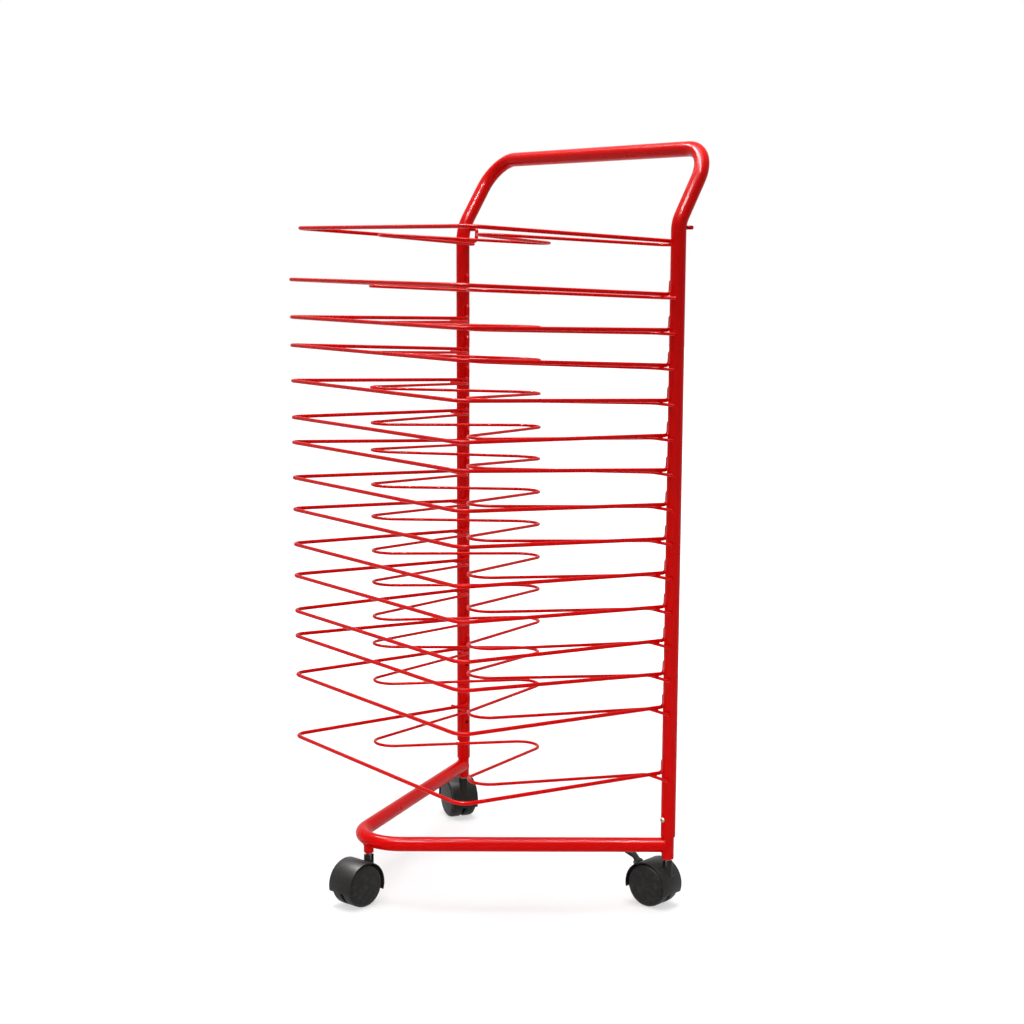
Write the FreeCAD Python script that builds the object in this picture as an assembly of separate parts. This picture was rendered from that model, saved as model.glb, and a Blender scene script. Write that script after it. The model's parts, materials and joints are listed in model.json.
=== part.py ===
import FreeCAD, Part
import math
import os
from FreeCAD import Vector

# Mobile art drying rack: a bent tube frame on three twin-wheel castors, with fifteen hinged wire shelves.
#
# Millimetres, +Z up. The origin is on the floor, midway between the two posts and in their plane.
# The posts stand at -X and +X, the shelves reach forward along -Y and the handle leans back along +Y.

# Tube frame
TUBE_DIAMETER = 19.0
TUBE_WALL = 1.5
POST_SPACING = 480.0
POST_FOOT_HEIGHT = 95.9
HANDLE_HEIGHT = 966.6
HANDLE_CORNER_RADIUS = 45.0

# Where each post bends back into the handle; the handle is slightly twisted, its left side leaning further
LEFT_KNEE_DROP = 96.2
LEFT_KNEE_RADIUS = 60.0
LEFT_LEAN_DEG = 31.4
RIGHT_KNEE_DROP = 91.2
RIGHT_KNEE_RADIUS = 35.0
RIGHT_LEAN_DEG = 29.0

# Base: a V of the same tube on two spigots, and a boss under its bent apex
BASE_HEIGHT = 84.3
BASE_DEPTH = 348.0
APEX_RADIUS = 54.0
SOCKET_FOOT_HEIGHT = 65.8
SPIGOT_INSERTION = 40.0
SPIGOT_WALL = 1.5
SPIGOT_EDGE_RADIUS = 1.0
BOSS_DIAMETER = 13.0
BOSS_EDGE_RADIUS = 1.2
SOCKET_LENGTH = 22.0
LEG_SETBACK = 4.0

# Frame screws
SCREW_HEIGHT = 114.9
SCREW_DIAMETER = 3.5
SCREW_HEAD_DIAMETER = 7.0
SCREW_HEAD_HEIGHT = 2.2
SCREW_LENGTH = 8.0

# Row of evenly spaced holes on the inner side of each post
HOLE_COUNT = 17
TOP_HOLE_DROP = 117.4
LOWEST_HOLE_HEIGHT = 151.6

# Wire shelves
OUTLINE_WIRE = 5.0
SUPPORT_WIRE = 4.0
SHELF_DEPTH = 301.0
SHELF_FRONT_WIDTH = 419.0
FRONT_CORNER_RADIUS = 19.0
PIVOT_RISE = 17.2
PIVOT_BEND_RADIUS = 3.6
RISER_BEND_RADIUS = 5.5
SUPPORT_REAR_WIDTH = 418.6
SUPPORT_REAR_RADIUS = 9.0
SUPPORT_PEAK_SPACING = 240.4
SUPPORT_PEAK_DEPTH = 267.4
SUPPORT_VALLEY_DEPTH = 3.7
SUPPORT_BEND_RADIUS = 27.0
STOP_OVERHANG = 13.0
# Bay of each shelf, counted in holes from the top, and how far its front sits above level.
# The top shelf hangs by its stop feet in the first hole; one bay above the lowest shelf is empty.
SHELF_HOLES = (0, 1, 2, 3, 4, 5, 6, 7, 8, 9, 10, 11, 12, 13, 15)
SHELF_TILTS_DEG = (3.3, 2.7, 1.6, 2.8, 2.1, 1.1, 3.0, 2.2, 2.3, 1.5, 1.6, 0.6, 2.3, 0.2, 0.3)

# Castors
STEM_DIAMETER = 8.0
STEM_ENGAGEMENT = 17.0
STEM_FOOT_HEIGHT = 53.4
STEM_CHAMFER = 1.0
CASTOR_TRAIL = 22.0
WHEEL_DIAMETER = 58.0
WHEEL_WIDTH = 17.4
WHEEL_GAP = 4.6
WHEEL_RIM = 3.0
WHEEL_DISC = 2.6
WHEEL_DOME = 0.8
WHEEL_EDGE_RADIUS = 7.0
WHEEL_INNER_RADIUS = 2.0
HUB_DIAMETER = 15.0
AXLE_DIAMETER = 6.0
HOOD_WALL = 1.4
HOOD_CLEARANCE = 0.6
HOOD_TAIL_ANGLE = -13.0
HOOD_NOSE_ANGLE = 200.0
HOOD_NECK_DIAMETER = 12.8
HOOD_NECK_TOP = 63.0
NECK_SLOT_WIDTH = 5.6
NECK_SLOT_DEPTH = 8.0
WEB_THICKNESS = 4.0
AXLE_BOSS_DIAMETER = 14.0
CASTOR_HEADINGS_DEG = {"front": -77.0, "right": -165.5, "left": 168.0}

# Brake lever on the right castor
LEVER_PIN_ANGLE = 42.0
LEVER_PIN_DIAMETER = 2.4
LEVER_HUB_RADIUS = 3.1
LEVER_ROOT_ANGLE = 58.0
LEVER_WIDTH = 9.0
# Corners of its finger before rounding, each measured from the pin: along the trail, then up
LEVER_CREST = (7.9, 11.0)
LEVER_TIP = (19.0, 11.4)
LEVER_PALM = (4.4, 4.3)
LEVER_CREST_RADIUS = 9.0
LEVER_TIP_RADIUS = 0.9
LEVER_PALM_RADIUS = 4.0
LEVER_TIP_THICKNESS = 2.4
EAR_RADIUS = 2.9
EAR_THICKNESS = 2.0

# Fits
RUNNING_FIT = 0.05
RESTING_GAP = 0.3

# Sizes that follow from the ones above
TUBE_BORE = TUBE_DIAMETER - 2 * TUBE_WALL
POST_X = POST_SPACING / 2
POST_INNER_FACE = POST_X - TUBE_DIAMETER / 2
TOP_HOLE_HEIGHT = HANDLE_HEIGHT - TOP_HOLE_DROP
HOLE_PITCH = (TOP_HOLE_HEIGHT - LOWEST_HOLE_HEIGHT) / (HOLE_COUNT - 1)
HOLE_DIAMETER = OUTLINE_WIRE + 2 * RUNNING_FIT
SPIGOT_DIAMETER = TUBE_BORE - 2 * RUNNING_FIT
SPIGOT_BORE = SPIGOT_DIAMETER - 2 * SPIGOT_WALL
SOCKET_BORE = STEM_DIAMETER + 2 * RUNNING_FIT
RISER_X = POST_INNER_FACE - PIVOT_BEND_RADIUS
LEG_TIP_X = POST_X + math.sqrt(TUBE_BORE**2 - OUTLINE_WIRE**2) / 2 - RESTING_GAP
SUPPORT_DROP = (OUTLINE_WIRE + SUPPORT_WIRE) / 2
STOP_GAP = TUBE_DIAMETER / 2 + SUPPORT_WIRE / 2 + RESTING_GAP
LEFT_KNEE_HEIGHT = HANDLE_HEIGHT - LEFT_KNEE_DROP
RIGHT_KNEE_HEIGHT = HANDLE_HEIGHT - RIGHT_KNEE_DROP
LEFT_KNEE_SETBACK = LEFT_KNEE_RADIUS * math.tan(math.radians(LEFT_LEAN_DEG) / 2)
APEX_HALF_ANGLE = math.atan2(POST_X, BASE_DEPTH)
APEX_Y = -(BASE_DEPTH - APEX_RADIUS * (1 / math.sin(APEX_HALF_ANGLE) - 1))
AXLE_HEIGHT = WHEEL_DIAMETER / 2
HOOD_BORE_RADIUS = WHEEL_DIAMETER / 2 + HOOD_CLEARANCE
HOOD_RADIUS = HOOD_BORE_RADIUS + HOOD_WALL
HOOD_WIDTH = WHEEL_GAP + 2 * WHEEL_WIDTH
LEVER_PIN_RADIUS = HOOD_RADIUS + LEVER_HUB_RADIUS + RESTING_GAP

EDGE_TOLERANCE = 1e-6
UP = Vector(0, 0, 1)
ACROSS = Vector(1, 0, 0)


def save(name, shape):
    """Write one sub-part as a STEP file."""
    os.makedirs("parts", exist_ok=True)
    shape.exportStep("parts/" + name + ".step")


def rounded_edges(points, radii):
    """Join straight runs through the points with a tangent arc of the given radius at each inner point."""
    edges = []
    start = points[0]
    for before, corner, after, radius in zip(points, points[1:], points[2:], radii):
        toward = (before - corner).normalize()
        away = (after - corner).normalize()
        half_turn = (math.pi - toward.getAngle(away)) / 2
        setback = radius * math.tan(half_turn)
        bisector = (toward + away).normalize()
        middle = corner + bisector * (radius / math.cos(half_turn) - radius)
        arc_start = corner + toward * setback
        arc_end = corner + away * setback
        edges.append(Part.LineSegment(start, arc_start).toShape())
        edges.append(Part.Arc(arc_start, middle, arc_end).toShape())
        start = arc_end
    edges.append(Part.LineSegment(start, points[-1]).toShape())
    return edges


def bent_rod(points, radii, diameter):
    """Sweep a round bar along a bent path."""
    path = Part.Wire(rounded_edges(points, radii))
    direction = points[1] - points[0]
    circle = Part.Wire(Part.makeCircle(diameter / 2, points[0], direction))
    return path.makePipeShell([circle], True, False)


def bent_tube(points, radii, diameter, bore):
    """Sweep a tube along a bent path."""
    outside = bent_rod(points, radii, diameter)
    inside = bent_rod(points, radii, bore)
    return outside.cut(inside)


def cylinder_between(start, end, diameter):
    """Make a round bar from one point to another."""
    span = end - start
    return Part.makeCylinder(diameter / 2, span.Length, start, span)


def upright_tube(x, y, foot, top, diameter, bore):
    """Make a vertical sleeve."""
    outside = cylinder_between(Vector(x, y, foot), Vector(x, y, top), diameter)
    inside = cylinder_between(Vector(x, y, foot), Vector(x, y, top), bore)
    return outside.cut(inside)


def round_lower_edge(shape, foot, radius):
    """Round the outer edge at the foot of an upright sleeve."""
    rims = [edge for edge in shape.Edges if abs(edge.BoundBox.ZMax - foot) < EDGE_TOLERANCE]
    widest = max(rims, key=lambda edge: edge.Length)
    return shape.makeFillet(radius, [widest])


def hole_height(index):
    """Height of one hole in the posts, counted from the top."""
    return TOP_HOLE_HEIGHT - index * HOLE_PITCH


def dome_bow(half_width, height):
    """Distance from the axis, and height, of the point halfway along a shallow dome's arc."""
    radius = (half_width**2 + height**2) / (2 * height)
    angle = math.asin(half_width / radius) / 2
    return radius * math.sin(angle), height - radius * (1 - math.cos(angle))


# ---------------------------------------------------------------- frame


def post_path(x, knee_height, lean):
    """Corners of one post's centre line: foot, knee and the end of the handle's bar."""
    bar_y = (HANDLE_HEIGHT - knee_height) * math.tan(math.radians(lean))
    return [Vector(x, 0, POST_FOOT_HEIGHT), Vector(x, 0, knee_height), Vector(x, bar_y, HANDLE_HEIGHT)]


def frame_path():
    """Corners of the upper frame's centre line: up the left post, across the handle and down the right."""
    left = post_path(-POST_X, LEFT_KNEE_HEIGHT, LEFT_LEAN_DEG)
    right = post_path(POST_X, RIGHT_KNEE_HEIGHT, RIGHT_LEAN_DEG)
    return left + right[::-1]


def screw_shank(side, start, end):
    """Straight bar on one screw's axis, from one distance inboard of the post's centre to another."""
    middle = Vector(side * POST_X, 0, SCREW_HEIGHT)
    inward = Vector(-side, 0, 0)
    return cylinder_between(middle + inward * start, middle + inward * end, SCREW_DIAMETER)


def make_upper_frame():
    """Bend the posts and handle from one tube and drill the rows of shelf holes."""
    radii = (LEFT_KNEE_RADIUS, HANDLE_CORNER_RADIUS, HANDLE_CORNER_RADIUS, RIGHT_KNEE_RADIUS)
    frame = bent_tube(frame_path(), radii, TUBE_DIAMETER, TUBE_BORE)
    drills = []
    for side in (-1, 1):
        for index in range(HOLE_COUNT):
            middle = Vector(side * POST_X, 0, hole_height(index))
            inner = Vector(side * (POST_INNER_FACE - TUBE_WALL), 0, hole_height(index))
            drills.append(cylinder_between(middle, inner, HOLE_DIAMETER))
        drills.append(screw_shank(side, 0, TUBE_DIAMETER))
    return frame.cut(drills)


def make_base_tube():
    """Bend the V of the base, cope its ends to the spigots and pierce it for the apex boss."""
    leg = Vector(-POST_X, BASE_DEPTH, 0).normalize() * (SPIGOT_DIAMETER / 2 - LEG_SETBACK)
    right = Vector(POST_X, 0, BASE_HEIGHT) + Vector(leg.x, -leg.y, 0)
    left = Vector(-right.x, right.y, right.z)
    apex = Vector(0, -BASE_DEPTH, BASE_HEIGHT)
    tube = bent_tube([left, apex, right], [APEX_RADIUS], TUBE_DIAMETER, TUBE_BORE)
    reach = TUBE_DIAMETER
    cutters = [boss_bar(BOSS_DIAMETER)]
    for x in (-POST_X, POST_X):
        low = Vector(x, 0, BASE_HEIGHT - reach)
        high = Vector(x, 0, BASE_HEIGHT + reach)
        cutters.append(cylinder_between(low, high, SPIGOT_DIAMETER))
    return tube.cut(cutters)


def make_spigot(side):
    """Make the vertical spigot that carries a post, a leg of the base and a castor."""
    top = POST_FOOT_HEIGHT + SPIGOT_INSERTION
    tube = upright_tube(side * POST_X, 0, SOCKET_FOOT_HEIGHT, top, SPIGOT_DIAMETER, SPIGOT_BORE)
    tube = round_lower_edge(tube, SOCKET_FOOT_HEIGHT, SPIGOT_EDGE_RADIUS)
    return tube.cut(screw_shank(side, 0, TUBE_DIAMETER))


def boss_bar(diameter):
    """Upright bar on the apex boss's axis, up to the centre of the base tube."""
    return cylinder_between(Vector(0, APEX_Y, SOCKET_FOOT_HEIGHT), Vector(0, APEX_Y, BASE_HEIGHT), diameter)


def make_apex_boss():
    """Make the short welded sleeve under the apex that takes the front castor."""
    boss = boss_bar(BOSS_DIAMETER).cut(boss_bar(SOCKET_BORE))
    return round_lower_edge(boss, SOCKET_FOOT_HEIGHT, BOSS_EDGE_RADIUS)


def make_stem_socket(side):
    """Make the nylon sleeve pressed into a spigot to grip the castor's stem."""
    top = SOCKET_FOOT_HEIGHT + SOCKET_LENGTH
    outside = SPIGOT_BORE - 2 * RUNNING_FIT
    return upright_tube(side * POST_X, 0, SOCKET_FOOT_HEIGHT, top, outside, SOCKET_BORE)


def make_screw(side):
    """Turn the domed screw that pins a post to its spigot."""
    head = SCREW_HEAD_DIAMETER / 2
    shank = SCREW_DIAMETER / 2
    bow_x, bow_z = dome_bow(head, SCREW_HEAD_HEIGHT)
    crown = Vector(0, 0, SCREW_HEAD_HEIGHT)
    rim = Vector(head, 0, 0)
    corners = [rim, Vector(shank, 0, 0), Vector(shank, 0, -SCREW_LENGTH), Vector(0, 0, -SCREW_LENGTH), crown]
    edges = [Part.LineSegment(a, b).toShape() for a, b in zip(corners, corners[1:])]
    edges.append(Part.Arc(crown, Vector(bow_x, 0, bow_z), rim).toShape())
    screw = Part.Face(Part.Wire(edges)).revolve(Vector(0, 0, 0), UP, 360)
    screw.rotate(Vector(0, 0, 0), Vector(0, 1, 0), -90 * side)
    screw.translate(Vector(side * POST_INNER_FACE, 0, SCREW_HEIGHT))
    return screw


# ---------------------------------------------------------------- shelves


def shelf_outline():
    """Bend the outer wire: leg, riser, side, front, side, riser and leg, with its plane at Z = 0."""
    half_front = SHELF_FRONT_WIDTH / 2
    left = [
        Vector(-LEG_TIP_X, 0, PIVOT_RISE),
        Vector(-RISER_X, 0, PIVOT_RISE),
        Vector(-RISER_X, 0, 0),
        Vector(-half_front, -SHELF_DEPTH, 0),
    ]
    right = [Vector(-point.x, point.y, point.z) for point in reversed(left)]
    radii = [PIVOT_BEND_RADIUS, RISER_BEND_RADIUS, FRONT_CORNER_RADIUS]
    return bent_rod(left + right, radii + radii[::-1], OUTLINE_WIRE)


def shelf_support(foot_y, tip_x):
    """Bend the inner wire: stop foot, side, peak, valley, peak, side and foot, under the outer wire."""
    low = -SUPPORT_DROP
    left = [
        Vector(-tip_x, foot_y, low),
        Vector(-SUPPORT_REAR_WIDTH / 2, foot_y, low),
        Vector(-SUPPORT_PEAK_SPACING / 2, -SUPPORT_PEAK_DEPTH, low),
    ]
    right = [Vector(-point.x, point.y, point.z) for point in reversed(left)]
    valley = [Vector(0, -SUPPORT_VALLEY_DEPTH, low)]
    bend = SUPPORT_BEND_RADIUS
    radii = (SUPPORT_REAR_RADIUS, bend, bend, bend, SUPPORT_REAR_RADIUS)
    return bent_rod(left + valley + right, radii, SUPPORT_WIRE)


def hinged_shelf_foot(tilt):
    """How far in front of the hinge the stop feet lie, so that they rest on the posts at this tilt."""
    angle = math.radians(tilt)
    drop = PIVOT_RISE + SUPPORT_DROP
    return (STOP_GAP - drop * math.sin(angle)) / math.cos(angle)


def top_foot_axis():
    """Height of the top shelf's feet, which lie on the lower edge of the first hole."""
    return hole_height(0) - HOLE_DIAMETER / 2 + SUPPORT_WIRE / 2 + RUNNING_FIT


def top_shelf_foot(tilt):
    """How far in front of its legs the top shelf's feet lie, so that the legs rest behind the knees."""
    angle = math.radians(tilt)
    rise = PIVOT_RISE + SUPPORT_DROP
    knee_y = LEFT_KNEE_RADIUS
    knee_z = LEFT_KNEE_HEIGHT - LEFT_KNEE_SETBACK
    base_y = rise * math.sin(angle) - knee_y
    base_z = top_foot_axis() + rise * math.cos(angle) - knee_z
    along = base_y * math.cos(angle) - base_z * math.sin(angle)
    contact = LEFT_KNEE_RADIUS - TUBE_DIAMETER / 2 - OUTLINE_WIRE / 2 - RESTING_GAP
    return -along - math.sqrt(along**2 - base_y**2 - base_z**2 + contact**2)


def make_shelf(hole, tilt):
    """Make one shelf's two wires where they rest."""
    if hole == 0:
        foot_y = -top_shelf_foot(tilt)
        support = shelf_support(foot_y, LEG_TIP_X)
        pivot = Vector(0, foot_y, -SUPPORT_DROP)
        hinge_height = top_foot_axis()
    else:
        foot_y = -hinged_shelf_foot(tilt)
        support = shelf_support(foot_y, POST_X + STOP_OVERHANG)
        pivot = Vector(0, 0, PIVOT_RISE)
        hinge_height = hole_height(hole)
    wires = (shelf_outline(), support)
    for wire in wires:
        wire.rotate(pivot, -ACROSS, tilt)
        wire.translate(Vector(0, 0, hinge_height) - pivot)
    return wires


# ---------------------------------------------------------------- castors


def polar(radius, degrees):
    """Point in a castor's side view, measured from its axle; 0 degrees points along the trail."""
    angle = math.radians(degrees)
    return Vector(CASTOR_TRAIL + radius * math.cos(angle), 0, AXLE_HEIGHT + radius * math.sin(angle))


def extrude_across(face, width):
    """Extrude a side-view face by equal amounts to both sides."""
    face = face.copy()
    face.translate(Vector(0, -width / 2, 0))
    return face.extrude(Vector(0, width, 0))


def axle_bar(diameter, width):
    """Bar on the axle's line, centred on the castor."""
    start = polar(0, 0) - Vector(0, width / 2, 0)
    return Part.makeCylinder(diameter / 2, width, start, Vector(0, 1, 0))


def hood_shell():
    """Curved cover over both wheels, open below."""
    middle = (HOOD_TAIL_ANGLE + HOOD_NOSE_ANGLE) / 2
    corners = [
        polar(radius, angle)
        for radius in (HOOD_RADIUS, HOOD_BORE_RADIUS)
        for angle in (HOOD_TAIL_ANGLE, middle, HOOD_NOSE_ANGLE)
    ]
    outer = Part.Arc(corners[0], corners[1], corners[2]).toShape()
    inner = Part.Arc(corners[5], corners[4], corners[3]).toShape()
    nose = Part.LineSegment(corners[2], corners[5]).toShape()
    tail = Part.LineSegment(corners[3], corners[0]).toShape()
    return extrude_across(Part.Face(Part.Wire([outer, nose, inner, tail])), HOOD_WIDTH)


def hood_web():
    """Flat wall between the wheels, with the boss that holds the axle."""
    overlap = HOOD_BORE_RADIUS + HOOD_WALL / 2
    arc = Part.Arc(polar(overlap, 0), polar(overlap, 90), polar(overlap, 180)).toShape()
    chord = Part.LineSegment(polar(overlap, 180), polar(overlap, 0)).toShape()
    half_disc = extrude_across(Part.Face(Part.Wire([arc, chord])), WEB_THICKNESS)
    return half_disc.fuse(axle_bar(AXLE_BOSS_DIAMETER, WEB_THICKNESS))


def hood_neck():
    """Upright neck around the stem, kept clear of the wheels."""
    foot = Vector(0, 0, AXLE_HEIGHT)
    neck = cylinder_between(foot, Vector(0, 0, HOOD_NECK_TOP), HOOD_NECK_DIAMETER)
    return neck.cut(axle_bar(2 * HOOD_BORE_RADIUS, HOOD_WIDTH))


def neck_slot():
    """Round-bottomed slot across the neck, which leaves one wall before the stem and one behind it."""
    half = NECK_SLOT_WIDTH / 2
    bottom = HOOD_NECK_TOP - NECK_SLOT_DEPTH
    left = Vector(-half, 0, bottom + half)
    right = Vector(half, 0, bottom + half)
    rise = Vector(0, 0, NECK_SLOT_DEPTH)
    sides = Part.makePolygon([left, left + rise, right + rise, right]).Edges
    floor = Part.Arc(right, Vector(0, 0, bottom), left).toShape()
    return extrude_across(Part.Face(Part.Wire(sides + [floor])), HOOD_NECK_DIAMETER)


def lever_ears():
    """Two ears on the hood that hold the brake lever's pin."""
    pin = polar(LEVER_PIN_RADIUS, LEVER_PIN_ANGLE)
    seat = polar(HOOD_RADIUS - HOOD_WALL / 2, LEVER_PIN_ANGLE)
    across = Vector(0, EAR_THICKNESS, 0)
    side = Vector(0, LEVER_WIDTH / 2 + RESTING_GAP, 0)
    eye = Part.makeCylinder(EAR_RADIUS, EAR_THICKNESS, pin + side, across)
    radial = pin - seat
    root = Part.makeBox(2 * EAR_RADIUS, EAR_THICKNESS, radial.Length)
    root.translate(Vector(-EAR_RADIUS, 0, 0))
    root.rotate(Vector(0, 0, 0), Vector(0, 1, 0), 90 - LEVER_PIN_ANGLE)
    root.translate(seat + side)
    ear = eye.fuse(root)
    ear = ear.cut(axle_bar(2 * HOOD_BORE_RADIUS, HOOD_WIDTH))
    twin = ear.mirror(Vector(0, 0, 0), Vector(0, 1, 0))
    return ear.fuse(twin)


def lever_pin(diameter):
    """Pin through the ears and the lever."""
    width = LEVER_WIDTH + 2 * (RESTING_GAP + EAR_THICKNESS)
    start = polar(LEVER_PIN_RADIUS, LEVER_PIN_ANGLE) - Vector(0, width / 2, 0)
    return Part.makeCylinder(diameter / 2, width, start, Vector(0, 1, 0))


def make_hood(braked):
    """Make a castor's moulded body: cover, web, axle boss and neck, with ears where it has a brake."""
    hood = hood_shell().fuse([hood_web(), hood_neck()])
    if braked:
        hood = hood.fuse(lever_ears()).cut(lever_pin(LEVER_PIN_DIAMETER + 2 * RUNNING_FIT))
    stem_foot = Vector(0, 0, STEM_FOOT_HEIGHT - RESTING_GAP)
    stem_bore = cylinder_between(stem_foot, Vector(0, 0, HOOD_NECK_TOP), STEM_DIAMETER + 2 * RUNNING_FIT)
    axle_bore = axle_bar(AXLE_DIAMETER + 2 * RUNNING_FIT, HOOD_WIDTH)
    return hood.cut([stem_bore, axle_bore, neck_slot()]).removeSplitter()


def make_stem():
    """Make the steel stem that a castor swivels on, with its point eased for the socket."""
    top = SOCKET_FOOT_HEIGHT + STEM_ENGAGEMENT
    stem = cylinder_between(Vector(0, 0, STEM_FOOT_HEIGHT), Vector(0, 0, top), STEM_DIAMETER)
    rims = [edge for edge in stem.Edges if abs(edge.BoundBox.ZMin - top) < EDGE_TOLERANCE]
    return stem.makeChamfer(STEM_CHAMFER, rims)


def make_axle():
    """Make the steel pin that both wheels turn on."""
    return axle_bar(AXLE_DIAMETER, HOOD_WIDTH - 2 * WHEEL_DISC)


def make_wheel(side):
    """Turn one dished wheel: hub, domed outer disc and rim, open toward the web."""
    radius = WHEEL_DIAMETER / 2
    bore = AXLE_DIAMETER / 2 + RUNNING_FIT
    hub = HUB_DIAMETER / 2
    inner = WHEEL_GAP / 2
    outer = inner + WHEEL_WIDTH
    disc = outer - WHEEL_DISC
    pocket = radius - WHEEL_RIM
    blind = outer - WHEEL_DISC + RESTING_GAP
    edge = WHEEL_EDGE_RADIUS
    face_centre = Vector(0, outer + WHEEL_DOME, 0)
    face_edge = Vector(radius - edge, outer, 0)
    dome_x, dome_y = dome_bow(radius - edge, WHEEL_DOME)
    face_middle = Vector(dome_x, outer + dome_y, 0)
    shoulder = Vector(radius, outer - edge, 0)
    bow = edge * (1 - math.sqrt(0.5))
    heel = WHEEL_INNER_RADIUS
    tread_end = Vector(radius, inner + heel, 0)
    rim_start = Vector(radius - heel, inner, 0)
    heel_bow = heel * (1 - math.sqrt(0.5))
    rim = [rim_start, Vector(pocket, inner, 0), Vector(pocket, disc, 0)]
    core = [Vector(hub, disc, 0), Vector(hub, inner, 0), Vector(bore, inner, 0), Vector(bore, blind, 0)]
    corners = rim + core + [Vector(0, blind, 0), face_centre]
    edges = [Part.LineSegment(a, b).toShape() for a, b in zip(corners, corners[1:])]
    edges.append(Part.Arc(face_centre, face_middle, face_edge).toShape())
    edges.append(Part.Arc(face_edge, Vector(radius - bow, outer - bow, 0), shoulder).toShape())
    edges.append(Part.LineSegment(shoulder, tread_end).toShape())
    edges.append(Part.Arc(tread_end, Vector(radius - heel_bow, inner + heel_bow, 0), rim_start).toShape())
    wheel = Part.Face(Part.Wire(edges)).revolve(Vector(0, 0, 0), Vector(0, 1, 0), 360)
    if side < 0:
        wheel = wheel.mirror(Vector(0, 0, 0), Vector(0, 1, 0))
    wheel.translate(polar(0, 0))
    return wheel


def make_brake_lever():
    """Make the foot lever: a round hub on the pin and a curved finger that thins toward its tip."""
    pin = polar(LEVER_PIN_RADIUS, LEVER_PIN_ANGLE)
    hub = extrude_across(Part.Face(Part.Wire(Part.makeCircle(LEVER_HUB_RADIUS, pin, Vector(0, 1, 0)))), LEVER_WIDTH)
    root_angle = math.radians(LEVER_ROOT_ANGLE)
    root = Vector(-math.sin(root_angle), 0, math.cos(root_angle)) * LEVER_HUB_RADIUS
    crest = Vector(LEVER_CREST[0], 0, LEVER_CREST[1])
    tip = Vector(LEVER_TIP[0], 0, LEVER_TIP[1])
    tip_below = tip - Vector(0, 0, LEVER_TIP_THICKNESS)
    palm = Vector(LEVER_PALM[0], 0, LEVER_PALM[1])
    corners = [pin + offset for offset in (root, crest, tip, tip_below, palm, -root)]
    radii = [LEVER_CREST_RADIUS, LEVER_TIP_RADIUS, LEVER_TIP_RADIUS, LEVER_PALM_RADIUS]
    edges = rounded_edges(corners, radii)
    edges.append(Part.LineSegment(corners[-1], corners[0]).toShape())
    finger = extrude_across(Part.Face(Part.Wire(edges)), LEVER_WIDTH)
    lever = hub.fuse(finger).cut(lever_pin(LEVER_PIN_DIAMETER + 2 * RUNNING_FIT))
    return lever.removeSplitter()


def place_castor(shape, socket, heading):
    """Turn a castor's piece to its heading and set it under its socket."""
    placed = shape.copy()
    placed.rotate(Vector(0, 0, 0), UP, heading)
    placed.translate(socket)
    return placed


def save_castor(name, socket, heading, braked):
    """Write one castor's pieces."""
    pieces = {
        "stem": make_stem(),
        "hood": make_hood(braked),
        "axle": make_axle(),
        "wheel_a": make_wheel(-1),
        "wheel_b": make_wheel(1),
    }
    if braked:
        pieces["brake_lever"] = make_brake_lever()
        pieces["lever_pin"] = lever_pin(LEVER_PIN_DIAMETER)
    for piece, shape in pieces.items():
        save("castor_" + name + "_" + piece, place_castor(shape, socket, heading))


def main():
    """Build and write every sub-part."""
    save("upper_frame", make_upper_frame())
    save("base_tube", make_base_tube())
    save("apex_boss", make_apex_boss())
    for name, side in (("left", -1), ("right", 1)):
        save("spigot_" + name, make_spigot(side))
        save("stem_socket_" + name, make_stem_socket(side))
        save("frame_screw_" + name, make_screw(side))
    for number, (hole, tilt) in enumerate(zip(SHELF_HOLES, SHELF_TILTS_DEG), start=1):
        outline, support = make_shelf(hole, tilt)
        save("shelf_{:02d}_outline".format(number), outline)
        save("shelf_{:02d}_support".format(number), support)
    sockets = {
        "front": Vector(0, APEX_Y, 0),
        "right": Vector(POST_X, 0, 0),
        "left": Vector(-POST_X, 0, 0),
    }
    for name, socket in sockets.items():
        save_castor(name, socket, CASTOR_HEADINGS_DEG[name], braked=name == "right")


main()
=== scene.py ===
"""Looks of a mobile art drying rack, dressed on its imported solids.

A bent tube frame in red powder coat carries hinged wire shelves and stands on three twin-wheel
castors of black nylon, one of them with a foot brake. Metres, +Z up, origin on the floor midway
between the two posts.
"""

import json
import logging
import math
from collections.abc import Callable, Sequence
from dataclasses import dataclass
from enum import Enum
from typing import Any

import bpy
from mathutils import Matrix, Vector

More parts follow.
